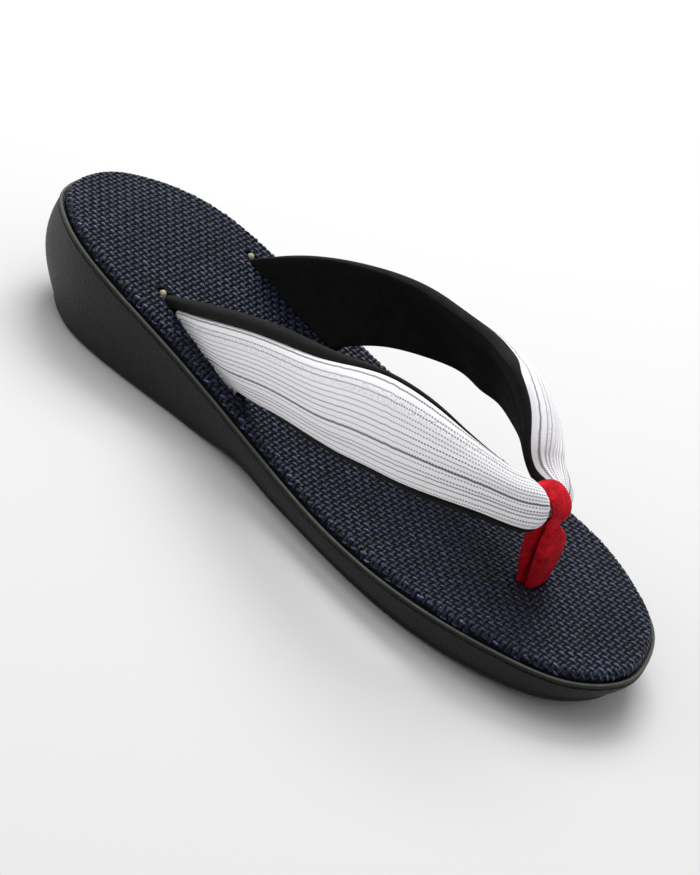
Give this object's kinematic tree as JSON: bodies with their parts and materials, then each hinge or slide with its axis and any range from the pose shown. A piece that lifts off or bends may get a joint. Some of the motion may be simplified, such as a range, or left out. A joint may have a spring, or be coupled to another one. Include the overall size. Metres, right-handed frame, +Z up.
{
  "type": "zori sandal",
  "caption": "Left zori sandal: black wedge sole, navy woven insole, striped white padded V strap with black felt lining, and a red felt toe loop.",
  "frame": {"origin": "on the floor, under the middle of the whole sandal's box", "axes": "+Y from heel to toe, +X towards the inner side of the foot, +Z up"},
  "size_m": [0.0975, 0.2461, 0.0661],
  "materials": {
    "sole_rubber": "satin",
    "insole_weave": "matte",
    "striped_cotton": "matte",
    "black_felt": "matte",
    "red_felt": "matte",
    "cream_cord": "matte"
  },
  "bodies": {
    "root": {"sole": "sole_rubber", "insole": "insole_weave", "strap_cover": "striped_cotton", "strap_lining": "black_felt", "toe_loop": "red_felt", "anchor_cord_inner": "cream_cord", "anchor_cord_outer": "cream_cord"}
  },
  "joints": []
}
